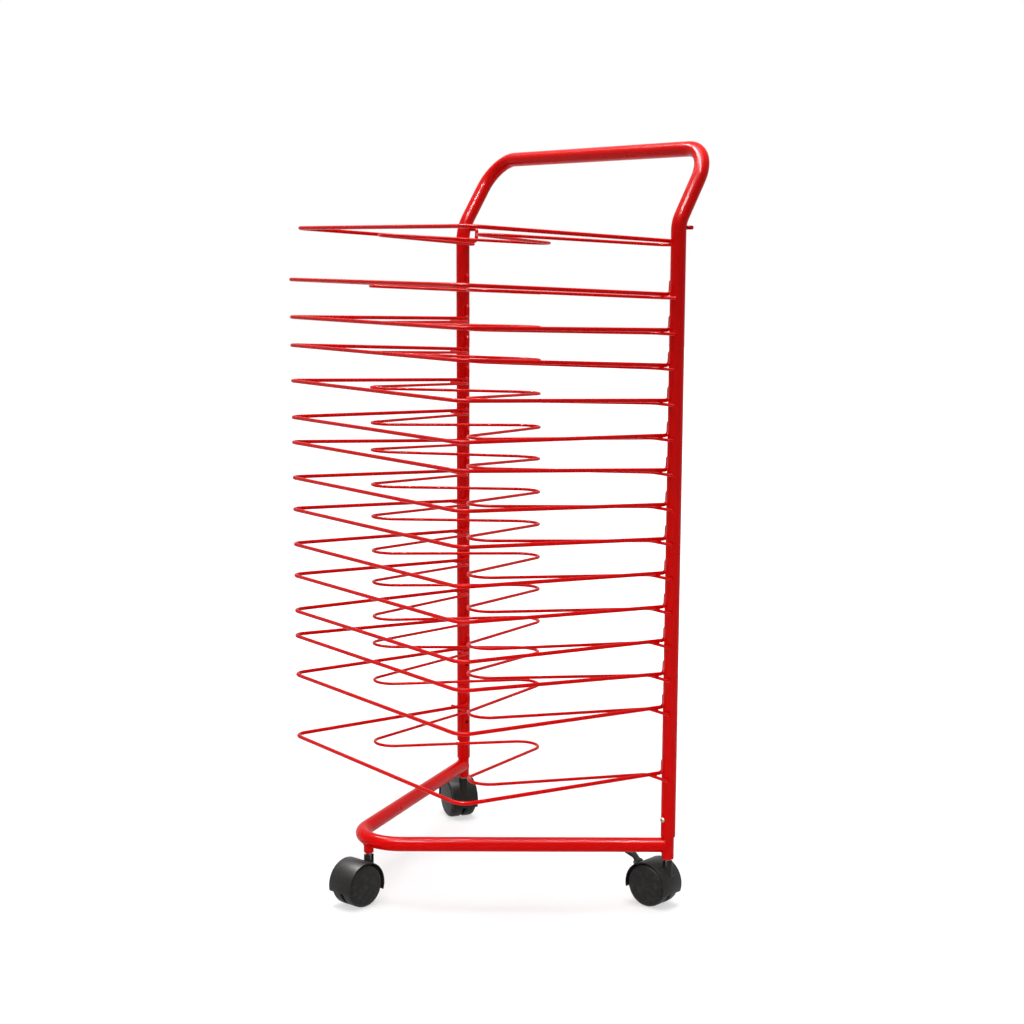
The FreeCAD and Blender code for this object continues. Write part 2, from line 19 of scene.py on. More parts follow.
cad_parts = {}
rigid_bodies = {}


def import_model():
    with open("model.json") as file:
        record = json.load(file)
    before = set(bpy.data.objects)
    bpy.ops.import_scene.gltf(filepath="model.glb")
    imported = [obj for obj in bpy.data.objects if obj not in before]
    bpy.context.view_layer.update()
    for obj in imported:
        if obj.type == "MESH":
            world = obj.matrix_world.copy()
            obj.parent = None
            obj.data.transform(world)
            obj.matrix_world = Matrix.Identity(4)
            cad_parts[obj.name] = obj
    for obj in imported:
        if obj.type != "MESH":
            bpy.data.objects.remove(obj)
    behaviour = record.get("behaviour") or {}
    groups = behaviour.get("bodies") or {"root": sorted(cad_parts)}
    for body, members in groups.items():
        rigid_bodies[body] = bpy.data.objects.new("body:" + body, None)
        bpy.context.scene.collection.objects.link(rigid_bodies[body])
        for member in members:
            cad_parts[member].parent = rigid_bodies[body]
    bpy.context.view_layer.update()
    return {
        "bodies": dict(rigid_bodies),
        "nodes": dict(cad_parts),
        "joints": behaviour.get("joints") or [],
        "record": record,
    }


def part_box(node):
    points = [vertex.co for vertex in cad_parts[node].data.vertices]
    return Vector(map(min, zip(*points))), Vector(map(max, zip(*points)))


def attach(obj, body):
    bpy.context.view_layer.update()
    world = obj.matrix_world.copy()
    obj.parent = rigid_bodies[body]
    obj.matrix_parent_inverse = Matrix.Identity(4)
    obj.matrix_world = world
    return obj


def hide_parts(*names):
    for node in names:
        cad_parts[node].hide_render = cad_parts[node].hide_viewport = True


MILLIMETRE = 0.001
WHITE = (1.0, 1.0, 1.0, 1.0)

# A Mix node's sockets for colours, which share their names with its sockets for numbers.
MIX_A = 6
MIX_B = 7
MIXED = 2

# Edges that turn by less than this are shaded smooth.
SMOOTH_BELOW_DEG = 40.0
WELD_SMOOTH_BELOW_DEG = 80.0

log = logging.getLogger("drying_rack")

Frame = dict[str, Any]


# ------------------------------------------------------------------ small tools


def millimetres(length: float) -> float:
    """Turns millimetres into metres."""
    return length * MILLIMETRE


def linear(hex_colour: str) -> tuple[float, float, float, float]:
    """Turns an sRGB hex colour into the linear values that shaders take.

    Args:
        hex_colour: Six hex digits after a hash, such as "#D80A05".

    Returns:
        Red, green, blue and an alpha of 1.
    """
    channels = [int(hex_colour[i : i + 2], 16) / 255 for i in (1, 3, 5)]
    red, green, blue = (c / 12.92 if c <= 0.04045 else ((c + 0.055) / 1.055) ** 2.4 for c in channels)
    return red, green, blue, 1.0


def add_node(
    tree: bpy.types.NodeTree,
    kind: str,
    values: dict[str | int, Any] | None = None,
    links: dict[str | int, bpy.types.NodeSocket] | None = None,
    **settings: Any,
) -> bpy.types.Node:
    """Adds one node with its settings, its socket values and the links into it.

    Args:
        tree: The node tree of a material or the world.
        kind: Blender's type name of the node.
        values: Values for its input sockets, by name or number.
        links: Output sockets of other nodes, by the name or number of the input that they feed.
        **settings: Properties of the node itself.

    Returns:
        The new node.
    """
    node = tree.nodes.new(kind)
    for name, value in settings.items():
        setattr(node, name, value)
    for socket, value in (values or {}).items():
        node.inputs[socket].default_value = value
    for socket, source in (links or {}).items():
        tree.links.new(source, node.inputs[socket])
    return node


def new_material(name: str) -> tuple[bpy.types.Material, bpy.types.NodeTree]:
    """Makes an empty node material.

    Args:
        name: The material's name.

    Returns:
        The material and its node tree.
    """
    material = bpy.data.materials.new(name)
    material.use_nodes = True
    material.node_tree.nodes.clear()
    return material, material.node_tree


def rays_that_show(tree: bpy.types.NodeTree) -> bpy.types.NodeSocket:
    """Tells the rays that show the studio from those that only carry its light.

    Args:
        tree: The node tree of a material or the world.

    Returns:
        A socket that gives 1 for camera, glossy and transmission rays and 0 for all others.
    """
    ray = add_node(tree, "ShaderNodeLightPath")
    seen = ray.outputs["Is Camera Ray"]
    for kind in ("Is Glossy Ray", "Is Transmission Ray"):
        either = add_node(
            tree,
            "ShaderNodeMath",
            links={0: seen, 1: ray.outputs[kind]},
            operation="MAXIMUM",
        )
        seen = either.outputs[0]
    return seen


def select_only(piece: bpy.types.Object) -> None:
    """Selects one piece alone and makes it active."""
    bpy.ops.object.select_all(action="DESELECT")
    piece.select_set(True)
    bpy.context.view_layer.objects.active = piece


# ------------------------------------------------------------------ finishes


@dataclass(frozen=True)
class PowderCoat:
    """Polyester powder coat, sprayed on steel and baked.

    It gives the eye one strong, even red with soft highlights, and a faint orange peel in them.
    """

    name: str = "red_powder_coat_on_steel"
    colour: str = "#DE0200"
    deep_colour: str = "#CC0100"
    # Film thickness drifts over a hand's width, and shows as a slightly deeper red.
    drift_mm: float = 60.0
    # Orange peel is about 1.5 mm across; it is drawn at 2.5 mm so that it shows.
    peel_mm: float = 2.5
    peel_height_mm: float = 0.008
    roughness: tuple[float, float] = (0.24, 0.34)
    ior: float = 1.5
    specular_level: float = 0.03
    # The resin flows to a thin clear skin over the pigment, which holds the highlights.
    skin_weight: float = 0.08
    skin_roughness: float = 0.1

    def build(self) -> bpy.types.Material:
        """Makes the material."""
        material, tree = new_material(self.name)
        place = add_node(tree, "ShaderNodeTexCoord").outputs["Object"]
        drift = add_node(
            tree,
            "ShaderNodeTexNoise",
            {"Scale": 1 / millimetres(self.drift_mm), "Detail": 3.0, "Roughness": 0.55},
            {"Vector": place},
        )
        tone = add_node(
            tree,
            "ShaderNodeMix",
            {MIX_A: linear(self.colour), MIX_B: linear(self.deep_colour)},
            {"Factor": drift.outputs["Fac"]},
            data_type="RGBA",
        )
        sheen = add_node(
            tree,
            "ShaderNodeMapRange",
            {"To Min": self.roughness[0], "To Max": self.roughness[1]},
            {"Value": drift.outputs["Fac"]},
        )
        peel = add_node(
            tree,
            "ShaderNodeTexNoise",
            {"Scale": 1 / millimetres(self.peel_mm), "Detail": 1.0},
            {"Vector": place},
        )
        bump = add_node(
            tree,
            "ShaderNodeBump",
            {"Distance": millimetres(self.peel_height_mm)},
            {"Height": peel.outputs["Fac"]},
        )
        shader = add_node(
            tree,
            "ShaderNodeBsdfPrincipled",
            {
                "IOR": self.ior,
                "Specular IOR Level": self.specular_level,
                "Coat Weight": self.skin_weight,
                "Coat Roughness": self.skin_roughness,
            },
            {
                "Base Color": tone.outputs[MIXED],
                "Roughness": sheen.outputs["Result"],
                "Normal": bump.outputs["Normal"],
            },
        )
        add_node(tree, "ShaderNodeOutputMaterial", links={"Surface": shader.outputs["BSDF"]})
        return material


@dataclass(frozen=True)
class DrawnSteel:
    """Cold-drawn steel of stems, axles and pins, left bare and oiled.

    It gives the eye a dark grey metal with fine lines round the bar.
    """

    name: str = "oiled_drawn_steel"
    colour: str = "#666461"
    # Turning marks are a few hundredths of a millimetre apart; they are drawn at 0.4 mm so that they show.
    mark_mm: float = 0.4
    mark_height_mm: float = 0.01
    # The marks run round the bar, so their pattern is stretched across it.
    mark_stretch: tuple[float, float, float] = (0.05, 0.05, 1.0)
    roughness: tuple[float, float] = (0.24, 0.4)

    def build(self) -> bpy.types.Material:
        """Makes the material."""
        material, tree = new_material(self.name)
        place = add_node(tree, "ShaderNodeTexCoord").outputs["Object"]
        along = add_node(tree, "ShaderNodeMapping", {"Scale": self.mark_stretch}, {"Vector": place})
        marks = add_node(
            tree,
            "ShaderNodeTexNoise",
            {"Scale": 1 / millimetres(self.mark_mm), "Detail": 2.0},
            {"Vector": along.outputs["Vector"]},
        )
        sheen = add_node(
            tree,
            "ShaderNodeMapRange",
            {"To Min": self.roughness[0], "To Max": self.roughness[1]},
            {"Value": marks.outputs["Fac"]},
        )
        bump = add_node(
            tree,
            "ShaderNodeBump",
            {"Strength": 0.4, "Distance": millimetres(self.mark_height_mm)},
            {"Height": marks.outputs["Fac"]},
        )
        shader = add_node(
            tree,
            "ShaderNodeBsdfPrincipled",
            {"Base Color": linear(self.colour), "Metallic": 1.0},
            {"Roughness": sheen.outputs["Result"], "Normal": bump.outputs["Normal"]},
        )
        add_node(tree, "ShaderNodeOutputMaterial", links={"Surface": shader.outputs["BSDF"]})
        return material


@dataclass(frozen=True)
class ZincPlate:
    """Bright zinc plating on a small screw.

    It gives the eye a silvery shine with the faint cloudy tint of its passivation.
    """

    name: str = "zinc_plated_steel"
    colour: str = "#AFA08C"
    tint: str = "#9C9A96"
    cloud_mm: float = 2.0
    roughness: float = 0.32

    def build(self) -> bpy.types.Material:
        """Makes the material."""
        material, tree = new_material(self.name)
        place = add_node(tree, "ShaderNodeTexCoord").outputs["Object"]
        cloud = add_node(
            tree,
            "ShaderNodeTexNoise",
            {"Scale": 1 / millimetres(self.cloud_mm), "Detail": 2.0},
            {"Vector": place},
        )
        tone = add_node(
            tree,
            "ShaderNodeMix",
            {MIX_A: linear(self.colour), MIX_B: linear(self.tint)},
            {"Factor": cloud.outputs["Fac"]},
            data_type="RGBA",
        )
        shader = add_node(
            tree,
            "ShaderNodeBsdfPrincipled",
            {"Metallic": 1.0, "Roughness": self.roughness},
            {"Base Color": tone.outputs[MIXED]},
        )
        add_node(tree, "ShaderNodeOutputMaterial", links={"Surface": shader.outputs["BSDF"]})
        return material


@dataclass(frozen=True)
class MouldedNylon:
    """Black injection-moulded nylon.

    It gives the eye a satin near-black with a spark-eroded grain, and pale scuffs and dust from use.
    """

    name: str
    colour: str
    scuff_colour: str
    scuff_amount: float
    roughness: tuple[float, float] = (0.38, 0.55)
    ior: float = 1.53
    specular_level: float = 0.15
    # The mould's grain is about 0.2 mm; it is drawn at 0.7 mm so that it shows.
    grain_mm: float = 0.7
    grain_height_mm: float = 0.025
    scuff_mm: float = 6.0
    # The part of the scuffs' pattern over which they set in.
    scuff_onset: tuple[float, float] = (0.48, 0.78)

    def build(self) -> bpy.types.Material:
        """Makes the material."""
        material, tree = new_material(self.name)
        place = add_node(tree, "ShaderNodeTexCoord").outputs["Object"]
        patches = add_node(
            tree,
            "ShaderNodeTexNoise",
            {"Scale": 1 / millimetres(self.scuff_mm), "Detail": 6.0, "Roughness": 0.65},
            {"Vector": place},
        )
        scuffs = add_node(
            tree,
            "ShaderNodeMapRange",
            {
                "From Min": self.scuff_onset[0],
                "From Max": self.scuff_onset[1],
                "To Min": 0.0,
                "To Max": self.scuff_amount,
            },
            {"Value": patches.outputs["Fac"]},
        )
        tone = add_node(
            tree,
            "ShaderNodeMix",
            {MIX_A: linear(self.colour), MIX_B: linear(self.scuff_colour)},
            {"Factor": scuffs.outputs["Result"]},
            data_type="RGBA",
        )
        sheen = add_node(
            tree,
            "ShaderNodeMapRange",
            {"To Min": self.roughness[0], "To Max": self.roughness[1]},
            {"Value": patches.outputs["Fac"]},
        )
        grain = add_node(
            tree,
            "ShaderNodeTexNoise",
            {"Scale": 1 / millimetres(self.grain_mm), "Detail": 2.0, "Roughness": 0.6},
            {"Vector": place},
        )
        bump = add_node(
            tree,
            "ShaderNodeBump",
            {"Strength": 0.5, "Distance": millimetres(self.grain_height_mm)},
            {"Height": grain.outputs["Fac"]},
        )
        shader = add_node(
            tree,
            "ShaderNodeBsdfPrincipled",
            {"IOR": self.ior, "Specular IOR Level": self.specular_level},
            {
                "Base Color": tone.outputs[MIXED],
                "Roughness": sheen.outputs["Result"],
                "Normal": bump.outputs["Normal"],
            },
        )
        add_node(tree, "ShaderNodeOutputMaterial", links={"Surface": shader.outputs["BSDF"]})
        return material


@dataclass(frozen=True)
class StudioWhite:
    """Matt pale studio floor. It keeps soft shadows near the rack, and rays that show it see it white."""

    name: str = "studio_white_paint"
    colour: str = "#C0C0C0"
    # How much white it shows of its own under the rack, and how much beyond the reach of its shadow.
    near_lift: float = 0.55
    far_lift: float = 1.0
    near_radius: float = 0.6
    far_radius: float = 1.6

    def build(self) -> bpy.types.Material:
        """Makes the material."""
        material, tree = new_material(self.name)
        place = add_node(tree, "ShaderNodeTexCoord").outputs["Object"]
        distance = add_node(tree, "ShaderNodeVectorMath", links={0: place}, operation="LENGTH")
        lift = add_node(
            tree,
            "ShaderNodeMapRange",
            {
                "From Min": self.near_radius,
                "From Max": self.far_radius,
                "To Min": self.near_lift,
                "To Max": self.far_lift,
            },
            {"Value": distance.outputs["Value"]},
            interpolation_type="SMOOTHSTEP",
        )
        strength = add_node(
            tree,
            "ShaderNodeMath",
            links={0: rays_that_show(tree), 1: lift.outputs["Result"]},
            operation="MULTIPLY",
        )
        paint = add_node(tree, "ShaderNodeBsdfDiffuse", {"Color": linear(self.colour)})
        glow = add_node(
            tree,
            "ShaderNodeEmission",
            {"Color": WHITE},
            {"Strength": strength.outputs[0]},
        )
        both = add_node(tree, "ShaderNodeAddShader", links={0: paint.outputs[0], 1: glow.outputs[0]})
        add_node(tree, "ShaderNodeOutputMaterial", links={"Surface": both.outputs[0]})
        return material


@dataclass(frozen=True)
class Finishes:
    """The rack's materials, made once and shared by its pieces."""

    paint: bpy.types.Material
    steel: bpy.types.Material
    zinc: bpy.types.Material
    hood: bpy.types.Material
    wheel: bpy.types.Material
    socket: bpy.types.Material

    @classmethod
    def build(cls) -> "Finishes":
        """Makes every material of the rack."""
        return cls(
            paint=PowderCoat().build(),
            steel=DrawnSteel().build(),
            zinc=ZincPlate().build(),
            hood=MouldedNylon("black_nylon_hood", "#181615", "#463E34", 0.2).build(),
            wheel=MouldedNylon("black_nylon_wheel", "#161616", "#57514A", 0.3).build(),
            socket=MouldedNylon("black_nylon_socket", "#171717", "#333333", 0.1).build(),
        )


# ------------------------------------------------------------------ pieces


@dataclass
class Dresser:
    """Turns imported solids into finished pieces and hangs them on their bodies."""

    frame: Frame
    # Corners closer than this are one corner.
    merge_mm: float = 0.002
    # Faces that turn by less than this are one flat face, and edges that turn by more are rounded.
    flat_below_deg: float = 0.5
    round_above_deg: float = 40.0
    rounding_segments: int = 2
    bead_roundness: int = 3

    def body_of(self, node: str) -> str:
        """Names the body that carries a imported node."""
        groups = self.frame["record"]["behaviour"]["bodies"]
        return next(body for body, members in groups.items() if node in members)

    def slot_of(self, node: str) -> str:
        """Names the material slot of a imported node."""
        return next(s["material_slot"] for s in self.frame["record"]["subparts"] if s["node"] == node)

    def copy_of(self, node: str, piece: str) -> bpy.types.Object:
        """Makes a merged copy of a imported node, to be worked on.

        Args:
            node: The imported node's name.
            piece: The name of the copy.

        Returns:
            A mesh object at the origin whose triangles share their corners.
        """
        mesh = self.frame["nodes"][node].data.copy()
        mesh.materials.clear()
        copy = bpy.data.objects.new(piece, mesh)
        bpy.context.scene.collection.objects.link(copy)
        select_only(copy)
        if mesh.has_custom_normals:
            bpy.ops.mesh.customdata_custom_splitnormals_clear()
        bpy.ops.object.mode_set(mode="EDIT")
        bpy.ops.mesh.select_all(action="SELECT")
        bpy.ops.mesh.remove_doubles(threshold=millimetres(self.merge_mm))
        bpy.ops.object.mode_set(mode="OBJECT")
        return copy

    def soften_edges(self, piece: bpy.types.Object, width_mm: float) -> None:
        """Merges flat facets of a piece and rounds its sharp edges, as a mould or a tumbler does.

        Args:
            piece: A closed mesh.
            width_mm: How far the rounding reaches from each edge.
        """
        select_only(piece)
        bpy.ops.object.mode_set(mode="EDIT")
        bpy.ops.mesh.select_all(action="SELECT")
        bpy.ops.mesh.dissolve_limited(angle_limit=math.radians(self.flat_below_deg))
        bpy.ops.object.mode_set(mode="OBJECT")
        bevel = piece.modifiers.new("rounded_edges", "BEVEL")
        bevel.width = millimetres(width_mm)
        bevel.segments = self.rounding_segments
        bevel.limit_method = "ANGLE"
        bevel.angle_limit = math.radians(self.round_above_deg)
        bpy.ops.object.modifier_apply(modifier=bevel.name)

    def finish(
        self,
        piece: bpy.types.Object,
        material: bpy.types.Material,
        body: str,
        slot: str,
        smooth_below_deg: float = SMOOTH_BELOW_DEG,
    ) -> bpy.types.Object:
        """Shades a piece, gives it its material and hangs it on its body.

        Args:
            piece: The piece, in place.
            material: Its finish.
            body: The body that it moves with.
            slot: Not used; it names the record's material slot that its finish stands for.
            smooth_below_deg: Edges that turn by less than this are shaded smooth.

        Returns:
            The same piece.
        """
        select_only(piece)
        bpy.ops.object.shade_smooth_by_angle(angle=math.radians(smooth_below_deg))
        piece.data.materials.clear()
        piece.data.materials.append(material)
        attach(piece, body)
        log.info("%s: %d faces, on %s", piece.name, len(piece.data.polygons), body)
        return piece

    def dress(
        self,
        node: str,
        material: bpy.types.Material,
        rounded_mm: float = 0.0,
    ) -> bpy.types.Object:
        """Stands a smooth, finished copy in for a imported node.

        Args:
            node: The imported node's name.
            material: Its finish.
            rounded_mm: How far its sharp edges are rounded, or 0 to leave them.

        Returns:
            The finished piece.
        """
        piece = self.copy_of(node, node + "_piece")
        if rounded_mm:
            self.soften_edges(piece, rounded_mm)
        self.finish(piece, material, self.body_of(node), self.slot_of(node))
        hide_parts(node)
        return piece

    def bead_on_rim(
        self,
        node: str,
        name: str,
        on_rim: Callable[[Vector], bool],
        bead_mm: float,
    ) -> bpy.types.Object:
        """Lays a round weld bead along the rim where one tube meets another.

        Args:
            node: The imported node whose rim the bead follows.
            name: The bead's name.
            on_rim: Says whether a corner of the node's mesh lies on that rim.
            bead_mm: The bead's radius.

        Returns:
            The bead as a mesh, in place.
        """
        bead = self.copy_of(node, name)
        mesh = bead.data
        bpy.ops.object.mode_set(mode="EDIT")
        bpy.ops.mesh.select_all(action="SELECT")
        bpy.ops.mesh.delete(type="ONLY_FACE")
        bpy.ops.mesh.select_mode(type="EDGE")
        bpy.ops.mesh.select_all(action="DESELECT")
        bpy.ops.object.mode_set(mode="OBJECT")
        chosen = [on_rim(vertex.co) for vertex in mesh.vertices]
        for edge in mesh.edges:
            edge.select = not (chosen[edge.vertices[0]] and chosen[edge.vertices[1]])
        bpy.ops.object.mode_set(mode="EDIT")
        bpy.ops.mesh.delete(type="EDGE")
        bpy.ops.mesh.select_mode(type="VERT")
        bpy.ops.mesh.select_all(action="SELECT")
        bpy.ops.mesh.delete_loose(use_verts=True, use_edges=False, use_faces=False)
        bpy.ops.object.mode_set(mode="OBJECT")
        bpy.ops.object.convert(target="CURVE")
        bead.data.bevel_depth = millimetres(bead_mm)
        bead.data.bevel_resolution = self.bead_roundness
        bead.data.use_fill_caps = True
        bpy.ops.object.convert(target="MESH")
        return bead


@dataclass
class TubeFrame:
    """The bent tube frame: posts and handle, V base, spigots, apex boss, their welds and screws."""

    dresser: Dresser
    finishes: Finishes
    tube_diameter_mm: float = 19.0
    tube_wall_mm: float = 1.5
    base_depth_mm: float = 348.0
    leg_setback_mm: float = 4.0
    spigot_diameter_mm: float = 15.9
    boss_diameter_mm: float = 13.0
    bead_mm: float = 1.1
    rim_margin_mm: float = 0.08
    socket_edge_mm: float = 0.2
    # The fastener inside each foot is coated over with the tube; the bare screw is the one in front.
    coated: tuple[str, ...] = (
        "upper_frame",
        "base_tube",
        "apex_boss",
        "spigot_left",
        "spigot_right",
        "frame_screw_left",
        "frame_screw_right",
    )
    screw_height_mm: float = 119.0
    screw_head_mm: float = 7.0
    screw_dome_mm: float = 2.2
    screw_seat_mm: float = 0.8
    screw_sides: int = 40
    # How much of the dome's height its rounded edge takes up.
    dome_share: float = 0.85
    dome_segments: int = 6
    crown_margin_mm: float = 0.01
    recess_length_mm: float = 4.4
    recess_width_mm: float = 0.9
    recess_depth_mm: float = 1.3

    def build(self) -> None:
        """Dresses every piece of the frame."""
        for node in self.coated:
            piece = self.dresser.dress(node, self.finishes.paint)
        for side in ("left", "right"):
            self.dresser.dress("stem_socket_" + side, self.finishes.socket, rounded_mm=self.socket_edge_mm)
            self.drive_front_screw(side)
            self.weld_spigot(side)
        self.weld_boss()

    def middle_of(self, node: str) -> Vector:
        """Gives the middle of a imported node's box."""
        low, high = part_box(node)
        return (low + high) / 2

    def weld_spigot(self, side: str) -> None:
        """Lays the bead where a leg of the base is welded round its spigot.

        Args:
            side: "left" or "right".
        """
        height = self.middle_of("base_tube").z
        spigot = self.middle_of("spigot_" + side).to_2d().to_3d() + Vector((0, 0, height))
        apex = Vector((0, -millimetres(self.base_depth_mm), height))
        along = (apex - spigot).normalized()
        margin = millimetres(self.rim_margin_mm)
        skin = millimetres(self.tube_diameter_mm / 2) - margin
        reach = millimetres(self.spigot_diameter_mm / 2) + margin
        setback = reach - millimetres(self.leg_setback_mm)

        def on_rim(point: Vector) -> bool:
            """Says whether a corner is on the outer edge of the leg's coped end."""
            offset = point - spigot
            run = offset.dot(along)
            on_skin = (offset - along * run).length > skin
            return on_skin and (offset.to_2d().length < reach or abs(run) < setback)

        bead = self.dresser.bead_on_rim("base_tube", "weld_spigot_" + side, on_rim, self.bead_mm)
        self.dresser.finish(bead, self.finishes.paint, "frame", "red_powder_coat", WELD_SMOOTH_BELOW_DEG)

    def weld_boss(self) -> None:
        """Lays the bead where the apex boss is welded under the base tube."""
        boss = self.middle_of("apex_boss")
        height = self.middle_of("base_tube").z
        reach = millimetres(self.boss_diameter_mm / 2 + self.rim_margin_mm)
        skin = millimetres(self.tube_diameter_mm / 2)
        half_wall = millimetres(self.tube_wall_mm / 2)

        def on_rim(point: Vector) -> bool:
            """Says whether a corner is on the outer edge of the hole that takes the boss."""
            offset = point - boss
            if offset.to_2d().length > reach:
                return False
            return point.z < height - math.sqrt(skin**2 - offset.y**2) + half_wall

        bead = self.dresser.bead_on_rim("base_tube", "weld_apex_boss", on_rim, self.bead_mm)
        self.dresser.finish(bead, self.finishes.paint, "frame", "red_powder_coat", WELD_SMOOTH_BELOW_DEG)

    def drive_front_screw(self, side: str) -> None:
        """Adds the domed screw in the front of a post's foot.

        Args:
            side: "left" or "right".
        """
        post = self.middle_of("spigot_" + side)
        skin = post.y - millimetres(self.tube_diameter_mm / 2)
        depth = millimetres(self.screw_dome_mm + self.screw_seat_mm)
        crown = Vector((post.x, skin - millimetres(self.screw_dome_mm), millimetres(self.screw_height_mm)))
        bpy.ops.object.select_all(action="DESELECT")
        bpy.ops.mesh.primitive_cylinder_add(
            vertices=self.screw_sides,
            radius=millimetres(self.screw_head_mm / 2),
            depth=depth,
            location=crown + Vector((0, depth / 2, 0)),
            rotation=(math.pi / 2, 0, 0),
        )
        screw = bpy.context.active_object
        screw.name = "front_screw_" + side
        bpy.ops.object.transform_apply(location=True, rotation=True, scale=True)
        bpy.ops.object.mode_set(mode="EDIT")
        bpy.ops.mesh.select_mode(type="EDGE")
        bpy.ops.mesh.select_all(action="DESELECT")
        bpy.ops.object.mode_set(mode="OBJECT")
        # Only the crown's own edges are bevelled, which turns its flat end into a dome.
        margin = millimetres(self.crown_margin_mm)
        corners = screw.data.vertices
        for edge in screw.data.edges:
            edge.select = all(abs(corners[end].co.y - crown.y) < margin for end in edge.vertices)
        bpy.ops.object.mode_set(mode="EDIT")
        bpy.ops.mesh.bevel(
            offset=millimetres(self.screw_dome_mm * self.dome_share),
            segments=self.dome_segments,
            affect="EDGES",
        )
        bpy.ops.object.mode_set(mode="OBJECT")
        self.cut_cross_recess(screw, crown)
        self.dresser.finish(screw, self.finishes.zinc, "frame", "zinc_screw")

    def cut_cross_recess(self, screw: bpy.types.Object, crown: Vector) -> None:
        """Cuts the cross recess of a screwdriver into a screw's head.

        Args:
            screw: The screw, its head toward the front.
            crown: The foremost point of its head.
        """
        for turn in (0.0, math.pi / 2):
            bpy.ops.object.select_all(action="DESELECT")
            bpy.ops.mesh.primitive_cube_add(size=1.0, location=crown)
            cutter = bpy.context.active_object
            cutter.dimensions = (
                millimetres(self.recess_length_mm),
                millimetres(2 * self.recess_depth_mm),
                millimetres(self.recess_width_mm),
            )
            cutter.rotation_euler.y = turn
            select_only(screw)
            cut = screw.modifiers.new("cross_recess", "BOOLEAN")
            cut.operation = "DIFFERENCE"
            cut.object = cutter
            bpy.ops.object.modifier_apply(modifier=cut.name)
            bpy.data.objects.remove(cutter)


@dataclass
class WireShelf:
    """One hinged shelf: two bent wires, and the two weld nuggets that join them."""

    dresser: Dresser
    finishes: Finishes
    number: int
    # Where the outer wire's side crosses over the inner wire's foot.
    crossing_x_mm: float = 226.2
    support_wire_mm: float = 4.0
    nugget_radius_mm: float = 2.9
    nugget_height_mm: float = 2.2
    nugget_sides: int = 20
    # How much of a nugget's height its rounded edge takes up.
    squash_share: float = 0.4
    squash_segments: int = 3

    @property
    def name(self) -> str:
        """The shelf's body."""
        return f"shelf_{self.number:02d}"

    def build(self) -> None:
        """Dresses both wires and welds them together."""
        self.dresser.dress(self.name + "_outline", self.finishes.paint)
        self.dresser.dress(self.name + "_support", self.finishes.paint)
        low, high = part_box(self.name + "_support")
        foot_y = high.y - millimetres(self.support_wire_mm / 2)
        contact_z = low.z + millimetres(self.support_wire_mm)
        for side, name in ((-1, "left"), (1, "right")):
            place = Vector((side * millimetres(self.crossing_x_mm), foot_y, contact_z))
            self.weld_nugget(self.name + "_weld_" + name, place)

    def weld_nugget(self, name: str, place: Vector) -> None:
        """Adds the squashed metal of a resistance weld between two crossing wires.

        Args:
            name: The nugget's name.
            place: Where the two wires touch.
        """
        bpy.ops.object.select_all(action="DESELECT")
        bpy.ops.mesh.primitive_cylinder_add(
            vertices=self.nugget_sides,
            radius=millimetres(self.nugget_radius_mm),
            depth=millimetres(self.nugget_height_mm),
            location=place,
        )
        nugget = bpy.context.active_object
        nugget.name = name
        bpy.ops.object.transform_apply(location=True, rotation=True, scale=True)
        bpy.ops.object.mode_set(mode="EDIT")
        bpy.ops.mesh.select_all(action="SELECT")
        bpy.ops.mesh.bevel(
            offset=millimetres(self.nugget_height_mm * self.squash_share),
            segments=self.squash_segments,
            affect="EDGES",
        )
        bpy.ops.object.mode_set(mode="OBJECT")
        self.dresser.finish(nugget, self.finishes.paint, self.name, "red_powder_coat", WELD_SMOOTH_BELOW_DEG)


class CastorPlace(Enum):
    """Where a castor stands under the base."""

    FRONT = "front"
    RIGHT = "right"
    LEFT = "left"


@dataclass
class Castor:
    """One twin-wheel castor: steel stem and axle, moulded hood and two wheels, with or without a brake."""

    dresser: Dresser
    finishes: Finishes
    place: CastorPlace
    braked: bool = False
    moulded_edge_mm: float = 0.4

    def build(self) -> None:
        """Dresses every piece of the castor."""
        name = "castor_" + self.place.value
        self.dresser.dress(name + "_stem", self.finishes.steel)
        self.dresser.dress(name + "_axle", self.finishes.steel)
        self.dresser.dress(name + "_hood", self.finishes.hood, rounded_mm=self.moulded_edge_mm)
        for wheel in ("_wheel_a", "_wheel_b"):
            self.dresser.dress(name + wheel, self.finishes.wheel)
        if self.braked:
            self.dresser.dress(name + "_lever_pin", self.finishes.steel)
            self.dresser.dress(name + "_brake_lever", self.finishes.hood, rounded_mm=self.moulded_edge_mm)


# ------------------------------------------------------------------ studio


@dataclass(frozen=True)
class View:
    """The camera: a long lens, a little above the rack's middle, to its front right."""

    place_mm: tuple[float, float, float] = (2126.6, -1559.3, 849.0)
    azimuth_deg: float = 55.54
    pitch_deg: float = 10.207
    roll_deg: float = 0.113
    lens_mm: float = 68.83
    sensor_mm: float = 36.0
    shift: tuple[float, float] = (0.0120, 0.0828)

    def build(self) -> None:
        """Makes the camera and makes it the scene's own."""
        data = bpy.data.cameras.new("camera")
        data.sensor_width = self.sensor_mm
        data.lens = self.lens_mm
        data.shift_x, data.shift_y = self.shift
        camera = bpy.data.objects.new("camera", data)
        bpy.context.scene.collection.objects.link(camera)
        turn = (
            Matrix.Rotation(math.radians(self.azimuth_deg), 4, "Z")
            @ Matrix.Rotation(math.radians(90 - self.pitch_deg), 4, "X")
            @ Matrix.Rotation(math.radians(self.roll_deg), 4, "Z")
        )
        camera.matrix_world = Matrix.Translation(Vector(self.place_mm) * MILLIMETRE) @ turn
        bpy.context.scene.camera = camera


class LampUse(Enum):
    """What a studio lamp is for: to light the rack, to show in its gloss, or both."""

    KEY = "key"
    FILL = "fill"
    HIGHLIGHT = "highlight"


